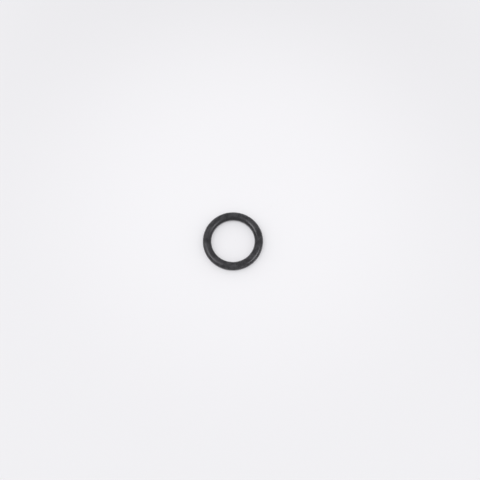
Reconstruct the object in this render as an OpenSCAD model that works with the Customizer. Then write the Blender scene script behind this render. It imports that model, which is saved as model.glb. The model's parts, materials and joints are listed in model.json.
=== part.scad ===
// Rubber o-ring: a seal moulded in one piece, as a ring of round cord.
// It lies flat, with its axis along Z. The origin is the ring's centre, at the middle of the cord's height.
// Sizes are in millimetres. The defaults are a common inch size: 3/4 in bore, 1 in outside, 1/8 in nominal cord.

/* [Ring] */
// Inside diameter of the ring, across the innermost points of the round cord
bore_d = 18.64; // [6:0.01:60]
// Diameter of the cord's round section
cord_d = 3.53; // [1.78:0.01:7]

/* [Mould line] */
// How far the trimmed mould line stands out of the cord, both in the bore and round the outside
line_h = 0.05; // [0.03:0.01:0.1]
// Width of the mould line's flat, trimmed edge, measured along the ring's axis
line_edge_w = 0.1; // [0.05:0.01:0.15]
// Width of the mould line where its flanks leave the cord
line_foot_w = 0.22; // [0.2:0.01:0.3]

/* [Hidden] */
cord_r = cord_d / 2;
// Radius of the circle that the cord's centre follows
ring_r = bore_d / 2 + cord_r;
rubber_black = [0.27, 0.27, 0.28];
$fn = 120;

// The ridge left by the thin web between the mould's two halves, after trimming.
// Its edge is parallel to the ring's axis. Each flank runs as far into the cord as it stands out of it,
// so that the ridge and the cord overlap at any size.
module mould_line_profile() {
    edge = [cord_r + line_h, line_edge_w / 2];
    foot = [sqrt(pow(cord_r, 2) - pow(line_foot_w / 2, 2)), line_foot_w / 2];
    root = 2 * foot - edge;
    polygon([edge, root, [root.x, -root.y], [edge.x, -edge.y]]);
}

// The cord's section: round, with a mould line on its outer side and another on its bore side.
module cord_section() {
    circle(r = cord_r);
    for (side = [0, 180])
        rotate(side)
            mould_line_profile();
}

module o_ring() {
    color(rubber_black)
        rotate_extrude()
            translate([ring_r, 0])
                cord_section();
}

o_ring();
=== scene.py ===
"""A black rubber o-ring, lying flat on a pale table in soft studio light.

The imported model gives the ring's sizes. The ring is built here again as one fine mesh: a round cord bent
into a circle, with the trimmed mould line that the mould's two halves left in the bore and on the outside.
Lengths are in metres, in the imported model's own frame: the ring's axis is Z and its centre is the origin.
"""

import json
import math

import bpy
import numpy as np
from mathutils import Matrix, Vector


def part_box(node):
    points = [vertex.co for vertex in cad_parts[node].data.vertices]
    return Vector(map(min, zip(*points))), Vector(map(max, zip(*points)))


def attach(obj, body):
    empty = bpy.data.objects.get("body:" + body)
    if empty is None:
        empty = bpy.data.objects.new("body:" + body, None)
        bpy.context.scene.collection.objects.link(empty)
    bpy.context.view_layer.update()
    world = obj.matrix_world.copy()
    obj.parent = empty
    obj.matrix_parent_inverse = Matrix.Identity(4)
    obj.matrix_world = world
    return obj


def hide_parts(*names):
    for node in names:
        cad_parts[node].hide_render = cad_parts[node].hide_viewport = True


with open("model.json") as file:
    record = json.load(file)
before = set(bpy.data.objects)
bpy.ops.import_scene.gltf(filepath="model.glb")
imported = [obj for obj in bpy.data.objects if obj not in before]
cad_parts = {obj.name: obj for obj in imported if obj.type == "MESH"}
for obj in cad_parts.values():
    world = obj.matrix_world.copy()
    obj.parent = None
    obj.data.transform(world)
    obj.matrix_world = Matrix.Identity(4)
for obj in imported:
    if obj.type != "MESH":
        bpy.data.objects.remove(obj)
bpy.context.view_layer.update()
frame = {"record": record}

MM = 0.001
TURN = 2 * math.pi

# The ring's sizes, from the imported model
ring_low, ring_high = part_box("o_ring")
mount_r = {mount["name"]: mount["dims"]["r_mm"] * MM for mount in frame["record"]["mounts"]}
CORD_R = (ring_high.z - ring_low.z) / 2
RING_R = (mount_r["outside"] + mount_r["bore"]) / 2
LINE_H = ring_high.x - RING_R - CORD_R

# Length of the cord's surface from the outer mould line to the one in the bore
HALF_ROUND = math.pi * CORD_R

# The mould line's section: a ridge with a flat edge
LINE_EDGE_W = 0.1 * MM
LINE_FOOT_W = 0.22 * MM

# How much of the ridge's height the knife leaves, and how much that share varies
TRIMMED_SHARE = 0.74
TRIMMED_SWING = 0.22

# How far the mould line wanders up and down, and how much of the surface beside it goes along
LINE_WANDER = 0.015 * MM
WANDER_REACH = 0.5 * MM

# The cord's shallow hollows: their usual depth, and how many lie round the cord and along the ring
HOLLOW_DEPTH = 0.003 * MM
HOLLOWS_ROUND = 2
HOLLOWS_ALONG = 3

# How many sections the ring's mesh has, and into how many strips its UV map cuts them
ROUNDS = 1302
STRIPS = 2

# The image's width, and the place of the ring's centre in it, in pixels
FRAME_PX = 480
RING_AT_PX = (232.95, 240.95)

# The camera's height above the table's plane, as an angle at the ring, and its distance from the ring
CAMERA_ELEVATION = math.radians(73.6)
CAMERA_DISTANCE = 0.262

# The surround's colour, and the strength at which it shows there and on the table far from the ring
PALE = (0.925, 0.92, 0.945, 1)
FAR_SHARE = 0.945

# The lamps' colour, and their distance from the ring
COOL_WHITE = (1.0, 0.995, 1.04)
LAMP_DISTANCE = 0.9

# The directions in which the surround's light grows: up, left, right and back. A longer one glows more
GLOWS = [(0, 0, 0.30), (-0.74, 0, 0), (0.72, 0, 0), (0, 0.24, 0)]


# Shape of the ring

def section_steps():
    """Lengths along the cord's surface, once round from the outer mould line, over the top first."""
    near_line = np.array([0, 0.03, 0.05, 0.07, 0.09, 0.11, 0.14, 0.21]) * MM
    lengths_between = 23
    between = np.linspace(near_line[-1], HALF_ROUND - near_line[-1], lengths_between)[1:-1]
    over_top = np.concatenate([near_line, between, HALF_ROUND - near_line[::-1]])
    back_below = 2 * HALF_ROUND - over_top[-2:0:-1]
    return np.concatenate([over_top, back_below])


def uneven(angle, seed, waves, roll_off):
    """A smooth curve round the ring, from -1 to 1, which joins up after a full turn."""
    rng = np.random.default_rng(seed)
    total = np.zeros_like(angle)
    for wave in range(1, waves + 1):
        total += rng.normal() / wave ** roll_off * np.cos(wave * angle + rng.uniform(0, TURN))
    return total / np.abs(total).max()


def ring_points(along, rounds):
    """Points of the ring's surface, as a grid: round the ring, then round the cord at the given lengths."""
    angle = np.arange(rounds) * TURN / rounds
    angle_grid, along_grid = np.meshgrid(angle, along, indexing="ij")
    from_line = np.minimum(along_grid % HALF_ROUND, HALF_ROUND - along_grid % HALF_ROUND)

    # The knife leaves the ridge a little lower in places, and so a little wider there
    slope = LINE_H / ((LINE_FOOT_W - LINE_EDGE_W) / 2)
    trimmed = LINE_H * (TRIMMED_SHARE + TRIMMED_SWING * uneven(angle, seed=3, waves=170, roll_off=0.3))
    ridge = np.clip(slope * (LINE_FOOT_W / 2 - from_line), 0, trimmed[:, None])

    # The line wanders up and down a little, and takes the surface near it along
    wander = LINE_WANDER * uneven(angle, seed=5, waves=30, roll_off=0.8)
    turned = along_grid / CORD_R
    turned = turned + np.cos(turned) * wander[:, None] * np.exp(-(from_line / WANDER_REACH) ** 2) / CORD_R

    # The cord isn't perfectly round, but the mould line stands on its full radius
    hollow = HOLLOW_DEPTH * (1 + uneven(angle, seed=7, waves=40, roll_off=0.4))[:, None]
    hollow = hollow * (0.5 + 0.5 * np.cos(HOLLOWS_ROUND * turned + HOLLOWS_ALONG * angle_grid))
    hollow = hollow * (from_line > LINE_FOOT_W / 2)

    radius = CORD_R + ridge - hollow
    from_axis = RING_R + radius * np.cos(turned)
    return np.stack([
        from_axis * np.cos(angle_grid),
        from_axis * np.sin(angle_grid),
        radius * np.sin(turned),
    ], axis=-1)


def grid_faces(rows, columns):
    """Four-cornered faces of a grid that is closed both ways, facing outwards."""
    row, column = np.meshgrid(np.arange(rows), np.arange(columns), indexing="ij")
    next_row = (row + 1) % rows
    next_column = (column + 1) % columns
    corners = [row * columns + column, next_row * columns + column,
               next_row * columns + next_column, row * columns + next_column]
    return np.stack(corners, axis=-1).reshape(-1, 4)


def add_strips_map(mesh, along, rounds, strips):
    """A UV map that lays the surface out flat, in strips side by side, cut along the ring's bottom."""
    margin = 0.01
    row, column = np.meshgrid(np.arange(rounds), np.arange(len(along)), indexing="ij")
    per_strip = rounds // strips
    strip, row_in_strip = np.divmod(row, per_strip)
    left = row_in_strip / per_strip
    right = (row_in_strip + 1) / per_strip

    full_round = 2 * HALF_ROUND
    to_next = np.diff(along, append=full_round)
    above_bottom = (along + full_round / 4) % full_round
    low = (above_bottom / full_round)[column]
    high = ((above_bottom + to_next) / full_round)[column]
    low, high = [(strip + margin + (1 - 2 * margin) * height) / strips for height in (low, high)]

    corners = np.stack([left, low, right, low, right, high, left, high], axis=-1)
    layer = mesh.uv_layers.new(name="OFBake")
    layer.uv.foreach_set("vector", corners.astype(np.float32).ravel())


def make_ring():
    """The ring as one mesh, named for its material."""
    along = section_steps()
    points = ring_points(along, ROUNDS)
    mesh = bpy.data.meshes.new("o_ring_rubber")
    mesh.from_pydata(points.reshape(-1, 3).tolist(), [], grid_faces(ROUNDS, len(along)).tolist())
    mesh.shade_smooth()
    add_strips_map(mesh, along, ROUNDS, STRIPS)
    ring = bpy.data.objects.new("o_ring_rubber", mesh)
    bpy.context.scene.collection.objects.link(ring)
    return ring


# Materials

class Graph:
    """Adds shader nodes to a node tree, with their values and links."""

    def __init__(self, tree):
        self.tree = tree

    def add(self, kind, inputs=(), **settings):
        node = self.tree.nodes.new(kind)
        for name, value in settings.items():
            setattr(node, name, value)
        for key, value in dict(inputs).items():
            if isinstance(value, bpy.types.NodeSocket):
                self.tree.links.new(value, node.inputs[key])
            else:
                node.inputs[key].default_value = value
        return node

    def math(self, operation, first, second=0.0):
        return self.add("ShaderNodeMath", {0: first, 1: second}, operation=operation).outputs[0]

    def mix_colours(self, share, first, second):
        """The first colour where the share is 0, and the second where it is 1."""
        return self.add("ShaderNodeMix", {"Factor": share, 6: first, 7: second}, data_type="RGBA").outputs[2]

    def spread(self, value, low, high, to_low, to_high):
        """Carries the range low to high over to another, without passing its ends."""
        inputs = {"Value": value, "From Min": low, "From Max": high, "To Min": to_low, "To Max": to_high}
        return self.add("ShaderNodeMapRange", inputs, interpolation_type="SMOOTHSTEP").outputs["Result"]

    def noise(self, vector, feature, detail=2.0, w=None):
        """Noise whose features are about as large as the given length."""
        inputs = {"Vector": vector, "Scale": 1 / feature, "Detail": detail}
        if w is None:
            return self.add("ShaderNodeTexNoise", inputs).outputs["Fac"]
        inputs["W"] = w
        return self.add("ShaderNodeTexNoise", inputs, noise_dimensions="4D").outputs["Fac"]


def new_material(name):
    material = bpy.data.materials.new(name)
    material.use_nodes = True
    return material, material.node_tree.nodes["Principled BSDF"], Graph(material.node_tree)


def rubber_colour(graph, xyz, from_axis, haze, grain, cut):
    """Black under a patchy pale haze, evener where cut and darker in the grain's hollows; painted shade
    darkens half the bore.
    """
    clean_and_shaded_black = (0.0085, 0.0080, 0.0104, 1)
    hazy_black = (0.0425, 0.0416, 0.0455, 1)
    cut_black = (0.033, 0.033, 0.035, 1)
    cut_cover = 0.7
    hollow_shade = 0.25

    # Painted shade: along the left and far half of the bore the haze is taken away, so that half renders
    # darker
    bore_shade_depth = 0.9
    in_bore = graph.spread(from_axis, RING_R - 1.5 * MM, RING_R + 0.3 * MM, bore_shade_depth, 0.0)
    across = graph.math("SUBTRACT", xyz["X"], xyz["Y"])
    shaded_half = graph.spread(across, -9 * MM, 9 * MM, 1.0, 0.0)
    unshaded_share = graph.math("SUBTRACT", 1.0, graph.math("MULTIPLY", in_bore, shaded_half))
    patches = graph.spread(haze, 0.33, 0.68, 0.0, 1.0)
    haze_less_shade = graph.math("MULTIPLY", patches, unshaded_share)

    hazed_and_shaded = graph.mix_colours(haze_less_shade, clean_and_shaded_black, hazy_black)
    with_cut = graph.mix_colours(graph.math("MULTIPLY", cut, cut_cover), hazed_and_shaded, cut_black)
    in_hollow = graph.spread(grain, 0.35, 0.65, hollow_shade, 0.0)
    return graph.mix_colours(in_hollow, with_cut, (0, 0, 0, 1))


def rubber_roughness(graph, xyz, haze, specks, cut):
    """A patchy shine, a little duller on one side of the ring and duller still where the rubber is cut."""
    dull_side = 0.27
    shiny_side = 0.18
    haze_adds = 0.10
    specks_add = 0.06
    cut_adds = 0.2

    by_side = graph.spread(xyz["X"], -8 * MM, 8 * MM, dull_side, shiny_side)
    by_haze = graph.spread(haze, 0.3, 0.75, 0.0, haze_adds)
    by_specks = graph.spread(specks, 0.35, 0.7, 0.0, specks_add)
    uncut = graph.math("ADD", graph.math("ADD", by_haze, by_specks), by_side)
    return graph.math("ADD", uncut, graph.math("MULTIPLY", cut, cut_adds))


def black_rubber():
    """Satin black rubber, as it comes from a turned steel mould."""
    material, shader, graph = new_material("black_rubber")
    place = graph.add("ShaderNodeTexCoord").outputs["Object"]
    xyz = graph.add("ShaderNodeSeparateXYZ", {0: place}).outputs
    from_axis = graph.math("SQRT", graph.math("ADD", graph.math("MULTIPLY", xyz["X"], xyz["X"]),
                                              graph.math("MULTIPLY", xyz["Y"], xyz["Y"])))

    # Fine lines round the ring, from the turning of the mould: noise that is stretched along the cord
    line_stretch = 1 / 40
    line_place = graph.add("ShaderNodeCombineXYZ", {
        "X": graph.math("MULTIPLY", xyz["X"], line_stretch),
        "Y": graph.math("MULTIPLY", xyz["Y"], line_stretch),
        "Z": xyz["Z"],
    }).outputs[0]
    turning = graph.noise(line_place, feature=0.2 * MM, detail=2, w=from_axis)

    grain = graph.noise(place, feature=0.2 * MM, detail=2)
    haze = graph.noise(place, feature=2.4 * MM, detail=5)
    specks = graph.noise(place, feature=0.4 * MM, detail=3)

    # 1 on the trimmed edge of the mould line, where the rubber is cut
    height = graph.math("ABSOLUTE", xyz["Z"])
    cut = graph.spread(height, 0.03 * MM, 0.09 * MM, 1.0, 0.0)

    colour = rubber_colour(graph, xyz, from_axis, haze, grain, cut)
    roughness = rubber_roughness(graph, xyz, haze, specks, cut)
    graph.tree.links.new(colour, shader.inputs["Base Color"])
    graph.tree.links.new(roughness, shader.inputs["Roughness"])
    shader.inputs["IOR"].default_value = 1.45

    rough_skin = graph.add("ShaderNodeBump", {"Height": grain, "Distance": 0.010 * MM, "Strength": 1.0})
    turned = graph.add("ShaderNodeBump", {"Height": turning, "Distance": 0.008 * MM, "Strength": 1.0,
                                          "Normal": rough_skin.outputs["Normal"]})
    graph.tree.links.new(turned.outputs["Normal"], shader.inputs["Normal"])
    return material


def seen_share(graph):
    """1 for rays from the camera, also mirrored or through a surface, and 0 for rays that gather light."""
    path = graph.add("ShaderNodeLightPath").outputs
    mirrored = graph.math("MAXIMUM", path["Is Glossy Ray"], path["Is Transmission Ray"])
    return graph.math("MAXIMUM", path["Is Camera Ray"], mirrored)


def pale_table():
    """A matt white table top, which is lit near the ring.

    Further away it is seen in its own paleness instead, so that it runs into the surround without a horizon.
    """
    material, shader, graph = new_material("pale_table")
    shader.inputs["Roughness"].default_value = 0.9
    shader.inputs["Specular IOR Level"].default_value = 0.0
    shader.inputs["Emission Color"].default_value = PALE

    place = graph.add("ShaderNodeTexCoord").outputs["Object"]
    bright_spot = (0.0055, 0.035, ring_low.z)
    distance = graph.add("ShaderNodeVectorMath", {0: place, 1: bright_spot}, operation="DISTANCE")
    away = distance.outputs["Value"]
    lit_to = 0.07
    far_from = 0.21
    far = graph.spread(away, lit_to, far_from, 0.0, 1.0)

    # Painted light: round the bright spot the table also glows a little of its own, which lightens the
    # ring's shadow there
    spot_share = 0.075
    own_near = graph.spread(away, 0.02, 0.13, spot_share, 0.0)
    own = graph.add("ShaderNodeMix", {"Factor": far, 2: own_near, 3: FAR_SHARE}).outputs[0]
    graph.tree.links.new(graph.math("MULTIPLY", seen_share(graph), own), shader.inputs["Emission Strength"])

    # Painted shade: the table's colour darkens in the narrow gap beside the line where the ring touches it,
    # where little light reaches
    lit_white = (0.810, 0.8065, 0.8110, 1)
    gap_reach = 0.8 * MM
    lit = graph.mix_colours(far, lit_white, (0, 0, 0, 1))
    shaded = graph.add("ShaderNodeAmbientOcclusion", {"Color": lit, "Distance": gap_reach}, samples=8)
    graph.tree.links.new(shaded.outputs["Color"], shader.inputs["Base Color"])
    return material


# Surroundings

def make_table():
    """A plain table top, at the height that the ring rests on."""
    reach = 2.0
    z = ring_low.z
    corners = [(-reach, -reach, z), (reach, -reach, z), (reach, reach, z), (-reach, reach, z)]
    mesh = bpy.data.meshes.new("table")
    mesh.from_pydata(corners, [], [(0, 1, 2, 3)])
    mesh.materials.append(pale_table())
    table = bpy.data.objects.new("table", mesh)
    bpy.context.scene.collection.objects.link(table)


def softbox(name, towards, width, height, power, shadow):
    """An oval area light that shines at the ring from the given direction, with its width level."""
    direction = Vector(towards).normalized()
    light = bpy.data.lights.new(name, "AREA")
    light.shape = "ELLIPSE"
    light.size = width
    light.size_y = height
    light.energy = power
    light.color = COOL_WHITE
    light.use_shadow = shadow
    lamp = bpy.data.objects.new(name, light)
    lamp.location = direction * LAMP_DISTANCE
    lamp.rotation_mode = "QUATERNION"
    lamp.rotation_quaternion = direction.to_track_quat("Z", "Y")
    lamp.visible_camera = False
    bpy.context.scene.collection.objects.link(lamp)


def make_surround():
    """A surround that is evenly pale to the camera and in reflections. Its light is the sum of the glows."""
    world = bpy.data.worlds.new("surround")
    bpy.context.scene.world = world
    world.use_nodes = True
    graph = Graph(world.node_tree)
    way = graph.add("ShaderNodeTexCoord").outputs["Generated"]
    strength = 0.0
    for glow in GLOWS:
        graded = graph.add("ShaderNodeVectorMath", {0: way, 1: glow}, operation="DOT_PRODUCT")
        strength = graph.math("ADD", strength, graph.math("MAXIMUM", graded.outputs["Value"], 0.0))
    lit = graph.add("ShaderNodeBackground", {"Color": (1, 1, 1, 1), "Strength": strength})
    seen = graph.add("ShaderNodeBackground", {"Color": PALE, "Strength": FAR_SHARE})
    mix = graph.add("ShaderNodeMixShader", {0: seen_share(graph), 1: lit.outputs[0], 2: seen.outputs[0]})
    graph.tree.links.new(mix.outputs[0], world.node_tree.nodes["World Output"].inputs["Surface"])


def make_camera():
    """Looks down on the ring along +Y, with the ring a little left of the middle of the frame."""
    camera = bpy.data.cameras.new("camera")
    camera.lens = 45.95
    camera.sensor_width = 36
    camera.clip_start = 0.01
    camera.clip_end = 10
    back = Vector((0, -math.cos(CAMERA_ELEVATION), math.sin(CAMERA_ELEVATION)))
    up = Vector((0, math.sin(CAMERA_ELEVATION), math.cos(CAMERA_ELEVATION)))
    right = Vector((1, 0, 0))
    metres_per_px = CAMERA_DISTANCE * camera.sensor_width / camera.lens / FRAME_PX
    aim = (right * (FRAME_PX / 2 - RING_AT_PX[0]) - up * (FRAME_PX / 2 - RING_AT_PX[1])) * metres_per_px

    rig = bpy.data.objects.new("camera", camera)
    rig.location = aim + back * CAMERA_DISTANCE
    rig.rotation_mode = "QUATERNION"
    rig.rotation_quaternion = (-back).to_track_quat("-Z", "Y")
    bpy.context.scene.collection.objects.link(rig)
    bpy.context.scene.camera = rig


bpy.context.scene.view_settings.view_transform = "Standard"
make_camera()
make_surround()
make_table()
# The two lamps at the sides cast no shadow, so that the ring's shadow is broad and faint
softbox("left_light", (-0.69, -0.19, 0.70), width=0.60, height=0.30, power=2.35, shadow=False)
softbox("right_light", (0.71, -0.30, 0.64), width=0.55, height=0.29, power=2.95, shadow=False)
softbox("upper_light", (-0.42, -0.10, 0.90), width=0.42, height=0.42, power=0.86, shadow=True)

ring = make_ring()
ring.data.materials.append(black_rubber())
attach(ring, "root")
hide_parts("o_ring")

bpy.context.view_layer.update()
